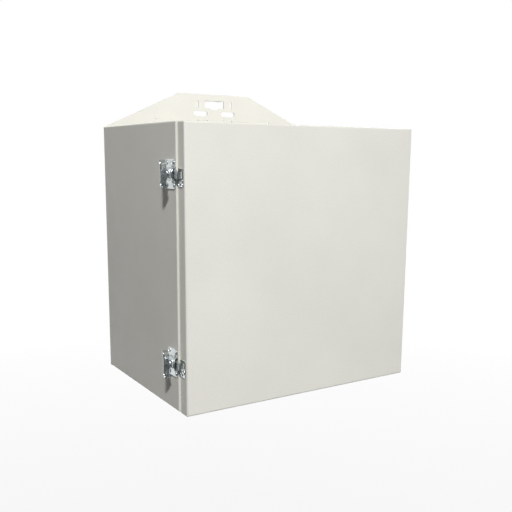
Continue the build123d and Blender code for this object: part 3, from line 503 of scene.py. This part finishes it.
def rivets(node_name, facing):
    """Blind rivets: domed heads with their mandrel holes, shanks and set tails."""
    dome = [(4.5, 0), (4.6, 0.25), (4.35, 0.75), (3.7, 1.25), (2.8, 1.6), (1.9, 1.78)]
    hole = [(1.35, RIVET_RISE), (1.15, 1.55), (1.1, 0.95), (0.85, 0.8), (0.7, 0.95), (0, 1.0)]
    tail = [(0, -RIVET_TAIL), (2.5, -RIVET_TAIL), (3.1, -0.75), (3.3, -0.35), (3.1, 0)]
    form = bmesh.new()
    for seat, depth in seats(node_name, facing, RIVET_RISE):
        grip = depth - RIVET_TAIL
        set_tail = [(radius, height - grip) for radius, height in tail]
        shank = [(RIVET_SHANK, -grip), (RIVET_SHANK, 0)]
        turned(form, set_tail + shank + dome + hole, seat, facing)
    in_place_of(node_name, "blind", form)


# Latch noses: each ring's distance ahead of the base, and its radius
LEVELS = ("upper", "lower")
NOSE_RINGS = ((0, 12), (2.4, 12), (3.3, 11.7), (3.9, 11.1), (4.2, 10.3), (4.3, 9.2))
NOSE_STEPS = 24
LINK_HEADROOM = 7.6


def latch_nose(level):
    """Rounded front of a latch's bridge, over the slot that the link runs in."""
    low, high = solids(f"latch_base_{level}")[0]
    wall, front, height = high[0], low[1], middle(low, high)[2]
    form = bmesh.new()
    rings = []
    for ahead, reach in NOSE_RINGS:
        start = math.asin(LINK_HEADROOM / reach)
        row = []
        for step in range(NOSE_STEPS + 1):
            angle = start + (math.pi - 2 * start) * step / NOSE_STEPS
            side, out = reach * math.cos(angle), reach * math.sin(angle)
            row.append(form.verts.new((wall - out, front - ahead, height + side)))
        rings.append(row)
    skinned(form, rings)
    finished(f"latch_nose_{level}", form, nodes[f"latch_base_{level}"]["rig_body"], "zinc_plate")


# Latch wings: heights above the wall, and lengths from the middle of the wing
WING_SEAT, WING_TOP = 12.3, 25.2
WING_DIP, WING_DIP_END = 1.4, 22
WING_SHEET, WING_BEAD = 1.2, 1.95
WING_STRAIGHT, WING_BEND, WING_CURL = 15.0, 9.5, math.radians(72)
WING_LENGTH = WING_STRAIGHT + WING_BEND * WING_CURL
WING_CORNER = 4.0
CRANK_THROW = 3
STRAIGHT_STEPS, CURL_STEPS, CORNER_STEPS = 4, 8, 6


def wing_station(along):
    """Place across and up, turn, and cut of the corner, at a length from the middle of the wing."""
    turn = max(0.0, along - WING_STRAIGHT) / WING_BEND
    across = WING_BEND * (math.cos(turn) - 1)
    up = min(along, WING_STRAIGHT) + WING_BEND * math.sin(turn)
    into_corner = max(0.0, along - (WING_LENGTH - WING_CORNER))
    return across, up, turn, WING_CORNER - math.sqrt(max(0.0, WING_CORNER**2 - into_corner**2))


def wing_section(top, low, slim):
    """Section of the wing's sheet, with a rolled bead along its outer edge."""
    sheet = [(WING_SHEET, low), (WING_SHEET, top - 4.2)]
    bead = [(1.55, top - 3.6), (WING_BEAD, top - 2.6), (WING_BEAD, top - 1.5)]
    edge = [(1.5, top - 0.5), (0.6, top)]
    side = [(slim * half, rise) for half, rise in sheet + bead + edge]
    return side + [(-half, rise) for half, rise in reversed(side)]


def wing_stations():
    """Lengths from the middle of the wing to its end, closer together round the corner."""
    before_corner = WING_LENGTH - WING_CORNER
    curl = before_corner - WING_STRAIGHT
    stations = [WING_STRAIGHT * step / STRAIGHT_STEPS for step in range(STRAIGHT_STEPS)]
    stations += [WING_STRAIGHT + curl * step / CURL_STEPS for step in range(CURL_STEPS + 1)]
    for step in range(1, CORNER_STEPS + 1):
        stations.append(before_corner + WING_CORNER * math.sin(math.pi / 2 * step / CORNER_STEPS))
    return stations


def latch_wing(level):
    """Wing handle: beaded sheet, its ears curled opposite ways, over its hub, shaft and crank pin."""
    wall = solids(f"latch_base_{level}")[0][1][0]
    node_name = f"latch_wing_{level}"
    axis, height = middle(*solids(node_name)[0])[1:]
    form = bmesh.new()
    rings = []
    stations = wing_stations()
    lower_ear = [(-1, along) for along in reversed(stations)]
    upper_ear = [(1, along) for along in stations[1:]]
    for end, along in lower_ear + upper_ear:
        across, up, turn, cut = wing_station(along)
        top = min(WING_TOP, WING_TOP - WING_DIP * (1 - (up / WING_DIP_END) ** 2)) - cut
        slim = 1 - 0.5 * (cut / WING_CORNER) ** 2
        row = []
        for half, rise in wing_section(top, WING_SEAT + 0.3 * cut, slim):
            over = end * across + half * math.cos(turn)
            high = end * up + half * math.sin(turn)
            row.append(form.verts.new((wall - rise, axis - over, height + high)))
        rings.append(row)
    skinned(form, rings)
    crank = [(0, 6.8), (6.0, 6.8), (6.2, 7.0), (6.2, 7.8), (4, 7.8), (4, WING_SEAT)]
    hub = [(9.6, WING_SEAT), (10, 12.6), (10, 14.3), (9.7, 14.75), (9.1, 14.9), (0, 14.9)]
    turned(form, crank + hub, (wall, axis, height), "left", around=FINE_AROUND)
    pin = [(0, 3.9), (1.7, 3.9), (2, 4.2), (2, 7.2), (0, 7.2)]
    turned(form, pin, (wall, axis + CRANK_THROW, height), "left")
    in_place_of(node_name, "curled", form, smooth=40)


# M6 bolts, nuts and studs, whose heights are from their seats or, on studs, from the mounting plate
M6_THREAD, M6_NECK, M6_POINT, M6_BORE = 3.0, 2.9, 2.2, 3.05
M6_HEAD, M6_HEAD_RISE, M6_NUT_RISE = 5.8, 4, 5
M6_FLATS = M6_HEAD * math.cos(math.pi / 6)
STUD_END, STUD_FOOT, STUD_COLLAR, STUD_SHOULDER = 40, 3, 5, 28
EARTH_BACK, EARTH_END, EARTH_HEAD = 24, 54, 6.5
PANEL_FACE = 30
WASHER_BORE, WASHER_REACH, WASHER_TOP, WASHER_EASE = 3.1, 8, 31.2, 0.2
ROD_THREAD, ROD_AROUND = 47.5, 24


def hexagon(reach, low, high):
    """Rows of a hexagonal head or nut, with both ends chamfered in a shallow curve."""
    cut, rise = 0.9, 0.7
    return [
        (reach - cut, low),
        (reach - cut / 2, low + 0.3 * rise),
        (reach, low + rise),
        (reach, high - rise),
        (reach - cut / 2, high - 0.3 * rise),
        (reach - cut, high),
    ]


def thread_end(start, end):
    """Rows of a thread up to its chamfered point."""
    return threaded(M6_THREAD, start, end - 0.8) + [(M6_POINT, end), (0, end)]


def bolts(node_name, facing, thread_from):
    """Hexagon bolts, threaded from a depth below their seats to their ends."""
    head = hexagon(M6_HEAD, 0, M6_HEAD_RISE) + [(0, M6_HEAD_RISE)]
    form = bmesh.new()
    for seat, length in seats(node_name, facing, M6_HEAD_RISE):
        point = [(0, -length), (M6_POINT, -length)]
        shank = point + threaded(M6_THREAD, -length + 0.7, -thread_from)
        neck = [(M6_NECK, -thread_from + 0.4), (M6_NECK, 0)]
        turned(form, shank + neck + head, seat, facing, M6_FLATS, FINE_AROUND, thread=M6_THREAD)
    in_place_of(node_name, "hex", form)


def nut(form, seat, facing):
    """A nut on its seat."""
    bore = [(M6_BORE, M6_NUT_RISE - 0.35), (M6_BORE, 0.35)]
    profile = hexagon(M6_HEAD, 0, M6_NUT_RISE) + bore
    turned(form, profile, seat, facing, M6_FLATS, FINE_AROUND, closed=True)


def nuts(node_name, facing):
    """Nuts on their seats."""
    form = bmesh.new()
    for seat, _ in seats(node_name, facing, M6_NUT_RISE):
        nut(form, seat, facing)
    in_place_of(node_name, "hex", form)


def panel_studs():
    """Collared studs that hold the equipment panel off the mounting plate."""
    collar = [(0, STUD_FOOT), (STUD_COLLAR, STUD_FOOT), (STUD_COLLAR, STUD_SHOULDER - 0.5)]
    shoulder = [(4.5, STUD_SHOULDER), (M6_NECK, STUD_SHOULDER)]
    profile = collar + shoulder + thread_end(STUD_SHOULDER + 0.6, STUD_END)
    form = bmesh.new()
    for seat, _ in seats("panel_studs", "front", STUD_END):
        turned(form, profile, seat, "front", thread=M6_THREAD)
    in_place_of("panel_studs", "threaded", form)


def ground_stud():
    """Earth stud: a hexagon head behind the panel, and its thread."""
    seat = seats("ground_stud", "front", EARTH_END)[0][0]
    head = [(0, EARTH_BACK)] + hexagon(EARTH_HEAD, EARTH_BACK, STUD_SHOULDER)
    neck = [(M6_NECK, STUD_SHOULDER)]
    profile = head + neck + thread_end(STUD_SHOULDER + 0.6, EARTH_END)
    flats = EARTH_HEAD * math.cos(math.pi / 6)
    form = bmesh.new()
    turned(form, profile, seat, "front", flats, FINE_AROUND, thread=M6_THREAD)
    in_place_of("ground_stud", "threaded", form)


def ground_nut():
    """Washer and nut on the earth stud, against the panel."""
    x, y, z = seats("ground_stud", "front", EARTH_END)[0][0]
    washer = [
        (WASHER_BORE, PANEL_FACE),
        (WASHER_REACH - WASHER_EASE, PANEL_FACE),
        (WASHER_REACH, PANEL_FACE + WASHER_EASE),
        (WASHER_REACH, WASHER_TOP - WASHER_EASE),
        (WASHER_REACH - WASHER_EASE, WASHER_TOP),
        (WASHER_BORE, WASHER_TOP),
    ]
    form = bmesh.new()
    turned(form, washer, (x, y, z), "front", closed=True)
    nut(form, (x, y - WASHER_TOP, z), "front")
    in_place_of("ground_nut", "washer", form)


def hold_down_rods():
    """Long rods with hexagon heads below the tray and threads at their upper ends."""
    form = bmesh.new()
    for low, high in solids("hold_down_rods"):
        x, y = middle(low, high)[:2]
        foot, end = low[2], high[2]
        start = end - ROD_THREAD
        head = [(0, foot)] + hexagon(M6_HEAD, foot, foot + M6_HEAD_RISE)
        shank = [(M6_THREAD, foot + M6_HEAD_RISE), (M6_THREAD, start - 1), (M6_NECK, start - 0.6)]
        profile = head + shank + thread_end(start, end)
        turned(form, profile, (x, y, 0), "up", M6_FLATS, ROD_AROUND, thread=M6_THREAD)
    in_place_of("hold_down_rods", "threaded", form)


# Screws: a head's radius and rise, and a shank's radius
RAIL_SCREW = (4.9, 2.5, 2.4)
PLATE_SCREW = (4.6, 2.8, 2.45)
BREAKER_SCREW = (2.8, 1.6, 1.5)
TERMINAL_SCREW = (2.4, 1.6, 1.4)
CLAMP_LENGTH = 0.8

# Recesses, by their number of arms: a slot right across a head, or a short cross
SLOT, CROSS = 1, 2
RECESS_LENGTH = {SLOT: 12.0, CROSS: 5.0}
RECESS_WIDTH = 1.1
RECESS_DEPTH = 0.55

# Clamp screws: their steps from the middle of what they clamp in, and how far behind its front
BREAKER_CLAMPS = {"across": (-9, 9), "up": (-32.5, 32.5), "behind": 18.9}
TERMINAL_CLAMPS = {"across": (0,), "up": (-9, 9), "behind": 4.9}


def sunk(piece, tops, facing, arms, rise):
    """Cuts a slot, or a cross with its second arm a little wider, into heads of a rise."""
    depth = RECESS_DEPTH * rise
    form = bmesh.new()
    for top in tops:
        where = Matrix.Translation(Vector(top)) @ FACING[facing]
        for quarter in range(arms):
            box = bmesh.ops.create_cube(form, size=1)["verts"]
            turn = Matrix.Rotation(math.radians(90 * quarter), 4, "Z")
            size = Matrix.Diagonal((RECESS_LENGTH[arms], RECESS_WIDTH + 0.02 * quarter, 2 * depth, 1))
            bmesh.ops.transform(form, matrix=where @ turn @ size, verts=box)
    bmesh.ops.scale(form, vec=(MM, MM, MM), verts=form.verts)
    mesh = bpy.data.meshes.new("cutter")
    form.to_mesh(mesh)
    form.free()
    cutter = bpy.data.objects.new("cutter", mesh)
    bpy.context.scene.collection.objects.link(cutter)
    cut = piece.modifiers.new("recess", "BOOLEAN")
    cut.operation = "DIFFERENCE"
    cut.solver = "EXACT"
    cut.use_self = True
    cut.object = cutter
    evaluated = piece.evaluated_get(bpy.context.evaluated_depsgraph_get())
    settled = bpy.data.meshes.new_from_object(evaluated)
    piece.modifiers.clear()
    piece.data = settled
    bpy.data.objects.remove(cutter)


def screws(form, places, facing, screw, length):
    """Adds pan-head screws on their seats, and returns the tops of their heads."""
    reach, rise, shank = screw
    crown = [(reach - 0.1, 0), (reach, 0.3), (reach, 0.45 * rise), (0.9 * reach, 0.8 * rise)]
    stem = [(0, -length), (shank - 0.5, -length), (shank, -length + 0.8), (shank, 0)]
    for place in places:
        turned(form, stem + crown + [(0.62 * reach, rise), (0, rise)], place, facing)
    return [Vector(place) + FACING[facing] @ Vector((0, 0, rise)) for place in places]


def pan_screws(node_name, facing, screw):
    """Pan-head screws with cross recesses."""
    rise = screw[1]
    seated = seats(node_name, facing, rise)
    length = seated[0][1]
    form = bmesh.new()
    tops = screws(form, [seat for seat, _ in seated], facing, screw, length)
    sunk(in_place_of(node_name, "pan", form), tops, facing, CROSS, rise)


def clamp_screws(name, carrier, steps, screw, arms):
    """Clamp screws in the front of each solid of the node that carries them."""
    form = bmesh.new()
    tops = screws(form, in_front(carrier, **steps), "front", screw, CLAMP_LENGTH)
    piece = finished(name, form, nodes[carrier]["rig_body"], "zinc_plate")
    sunk(piece, tops, "front", arms, screw[1])


# Glands and vents
GLAND_RISE, GLAND_FLATS, GLAND_AROUND = 23.5, 13.51, 60
VENT_RISE = 4.0


def gland_caps():
    """Cap nuts of the cable glands, with hexagon skirts under their domes."""
    skirt = [(11.05, 6.5), (13.0, 6.5), (14.4, 6.8), (15.6, 7.5), (15.6, 15.5), (14.4, 16.2)]
    dome = [(13.45, 16.6), (13.3, 18), (12.9, 20), (12.2, 21.8), (11.3, 22.9), (10.4, 23.4)]
    mouth = [(9.4, GLAND_RISE), (8.5, 23.3), (8.05, 22.7), (8.0, 18.1), (11.05, 18.0)]
    form = bmesh.new()
    for seat, _ in seats("gland_caps", "down", GLAND_RISE):
        turned(form, skirt + dome + mouth, seat, "down", GLAND_FLATS, GLAND_AROUND, closed=True)
    in_place_of("gland_caps", "domed", form)


def vent_plugs():
    """Snap-in vent plugs with a ring groove in their faces."""
    inside = [(0, -4.5), (7.6, -4.5), (8.0, -4.1), (8.0, -1.5), (6, -1.5), (6, 0)]
    rim = [(8.9, 0), (9.0, 0.3), (8.85, 2.0), (8.4, 3.2), (7.6, 3.85), (6.6, VENT_RISE)]
    face = [(6.2, 3.5), (5.2, 3.5), (4.8, VENT_RISE), (2.4, VENT_RISE), (2.0, 3.5), (0, 3.5)]
    form = bmesh.new()
    for seat, _ in seats("vent_plugs", "down", VENT_RISE):
        turned(form, inside + rim + face, seat, "down", around=FINE_AROUND)
    in_place_of("vent_plugs", "domed", form)


# Pieces that stand for nodes or sit on them
rivets("hinge_body_rivets", "right")
rivets("hinge_door_rivets", "right")
for level in LEVELS:
    rivets(f"latch_rivets_{level}", "left")
    rivets(f"keeper_rivets_{level}", "left")
for level in LEVELS:
    latch_nose(level)
    latch_wing(level)
bolts("tray_bolts", "up", thread_from=2)
nuts("tray_nuts", "down")
bolts("post_bolts", "up", thread_from=3)
nuts("panel_nuts", "front")
panel_studs()
ground_stud()
ground_nut()
hold_down_rods()
pan_screws("rail_screws", "front", RAIL_SCREW)
pan_screws("gland_plate_screws", "down", PLATE_SCREW)
clamp_screws("breaker_clamp_screws", "breaker", BREAKER_CLAMPS, BREAKER_SCREW, CROSS)
clamp_screws("terminal_clamp_screws", "terminal_blocks", TERMINAL_CLAMPS, TERMINAL_SCREW, SLOT)
gland_caps()
vent_plugs()

# Eased edges of the nodes that keep their own shape, with their widths in millimetres
eased(("cabinet_shell", "door_pan", "mounting_plate"), 0.4)
eased(("gland_plate", "equipment_panel", "battery_tray"), 0.4)
eased([f"latch_{part}_{level}" for part in ("base", "link", "keeper") for level in LEVELS], 0.35)
eased(("battery_left", "battery_right", "battery_posts"), 0.6)
eased(("gland_bodies", "gland_locknuts", "hold_down_bar"), 0.6)
eased(("breaker", "breaker_toggle", "terminal_blocks", "cable_lugs", "wing_nuts"), 0.3)
eased(("din_rail", "hinge_body_leaf", "hinge_door_leaf"), 0.15)
eased(("door_gasket",), 1.0)


# Stage
def floor():
    """Wide pale floor below the enclosure, fading into the background."""
    bpy.ops.mesh.primitive_circle_add(
        vertices=FLOOR_AROUND, radius=FLOOR_RADIUS, fill_type="NGON", location=(0, 0, FLOOR_Z)
    )
    disc = bpy.context.object
    disc.name = "floor"
    material, tree, shader = new_material("floor_paper")
    shader.inputs["Base Color"].default_value = (FLOOR_TONE, FLOOR_TONE, FLOOR_TONE, 1)
    shader.inputs["Roughness"].default_value = FLOOR_ROUGHNESS
    disc.data.materials.append(material)
    rays = tree.nodes.new("ShaderNodeLightPath")
    seen = calculated(tree, "MAXIMUM", rays.outputs["Is Camera Ray"], rays.outputs["Is Glossy Ray"])
    seen = calculated(tree, "MAXIMUM", seen, rays.outputs["Is Transmission Ray"])
    source = tree.nodes.new("ShaderNodeTexCoord")
    distance = tree.nodes.new("ShaderNodeVectorMath")
    distance.operation = "LENGTH"
    tree.links.new(source.outputs["Object"], distance.inputs[0])
    fade = spread(tree, distance.outputs["Value"], FADE_NEAR, FADE_FAR, FADE_START, FADE_END)
    axes = tree.nodes.new("ShaderNodeSeparateXYZ")
    tree.links.new(source.outputs["Object"], axes.inputs["Vector"])
    along = axes.outputs["Y"]
    mirrored = spread(tree, along, REFLECTED_FRONT, REFLECTED_REAR, FLOOR_FRONT, FLOOR_REAR)
    glow = tree.nodes.new("ShaderNodeEmission")
    colour = mix_colour(tree, rays.outputs["Is Glossy Ray"], BACKGROUND, mirrored)
    tree.links.new(colour, glow.inputs["Color"])
    share = calculated(tree, "MULTIPLY", seen, fade)
    mixed = mix_shader(tree, share, shader.outputs[0], glow.outputs[0])
    tree.links.new(mixed, tree.nodes["Material Output"].inputs["Surface"])


def world():
    """Dim room, lighter in front; reflections see it brighter behind, and the camera sees white."""
    scenery = bpy.data.worlds.new("studio")
    bpy.context.scene.world = scenery
    scenery.use_nodes = True
    tree = scenery.node_tree
    source = tree.nodes.new("ShaderNodeTexCoord")
    axes = tree.nodes.new("ShaderNodeSeparateXYZ")
    tree.links.new(source.outputs["Generated"], axes.inputs["Vector"])
    frontal = tree.nodes.new("ShaderNodeVectorMath")
    frontal.operation = "DOT_PRODUCT"
    tree.links.new(source.outputs["Generated"], frontal.inputs[0])
    frontal.inputs[1].default_value = FRONT_AXIS
    lobe = calculated(tree, "POWER", spread(tree, frontal.outputs["Value"], 0, 1, 0, 1), FRONT_FOCUS)
    ambient = tree.nodes["Background"]
    brightness = spread(tree, lobe, AMBIENT, AMBIENT + AMBIENT_FRONT, 0, 1)
    tree.links.new(brightness, ambient.inputs["Color"])
    mirrored = tree.nodes.new("ShaderNodeBackground")
    along = axes.outputs["Y"]
    reflected = spread(tree, along, REFLECTED_FRONT, REFLECTED_REAR, ROOM_FRONT, ROOM_REAR)
    tree.links.new(reflected, mirrored.inputs["Color"])
    pale = tree.nodes.new("ShaderNodeBackground")
    pale.inputs["Color"].default_value = (*BACKGROUND, 1)
    rays = tree.nodes.new("ShaderNodeLightPath")
    through = rays.outputs["Is Transmission Ray"]
    seen = calculated(tree, "MAXIMUM", rays.outputs["Is Camera Ray"], through)
    room = mix_shader(tree, rays.outputs["Is Glossy Ray"], ambient.outputs[0], mirrored.outputs[0])
    mixed = mix_shader(tree, seen, room, pale.outputs[0])
    tree.links.new(mixed, tree.nodes["World Output"].inputs["Surface"])


def lamp(name, place, target, energy, shape, size):
    """A soft lamp at a place, aimed at a target."""
    data = bpy.data.lights.new(name, "AREA")
    data.energy = energy
    data.shape = shape
    data.size = data.size_y = size
    holder = bpy.data.objects.new(name, data)
    holder.location = place
    holder.rotation_mode = "QUATERNION"
    holder.rotation_quaternion = (target - place).to_track_quat("-Z", "Y")
    bpy.context.scene.collection.objects.link(holder)


def camera():
    """The photograph's viewpoint."""
    data = bpy.data.cameras.new("camera")
    data.sensor_width = CAMERA_SENSOR
    data.lens = CAMERA_LENS
    data.shift_y = CAMERA_SHIFT
    level = Vector((math.cos(CAMERA_TURN), -math.sin(CAMERA_TURN), 0))
    onward = Vector((math.sin(CAMERA_TURN), math.cos(CAMERA_TURN), 0))
    ahead = math.cos(CAMERA_DIP) * onward - Vector((0, 0, math.sin(CAMERA_DIP)))
    upright = level.cross(ahead)
    right = math.cos(CAMERA_ROLL) * level + math.sin(CAMERA_ROLL) * upright
    up = math.cos(CAMERA_ROLL) * upright - math.sin(CAMERA_ROLL) * level
    holder = bpy.data.objects.new("camera", data)
    turn = Matrix((right, up, -ahead)).transposed().to_4x4()
    holder.matrix_world = Matrix.Translation(CAMERA_PLACE) @ turn
    bpy.context.scene.collection.objects.link(holder)
    bpy.context.scene.camera = holder


floor()
world()
lamp("key", KEY_PLACE, KEY_AIM, KEY_POWER, "DISK", KEY_SIZE)
lamp("rear_fill", REAR_PLACE, REAR_AIM, REAR_POWER, "RECTANGLE", REAR_SIZE)
camera()

bpy.context.scene.view_settings.view_transform = "Standard"
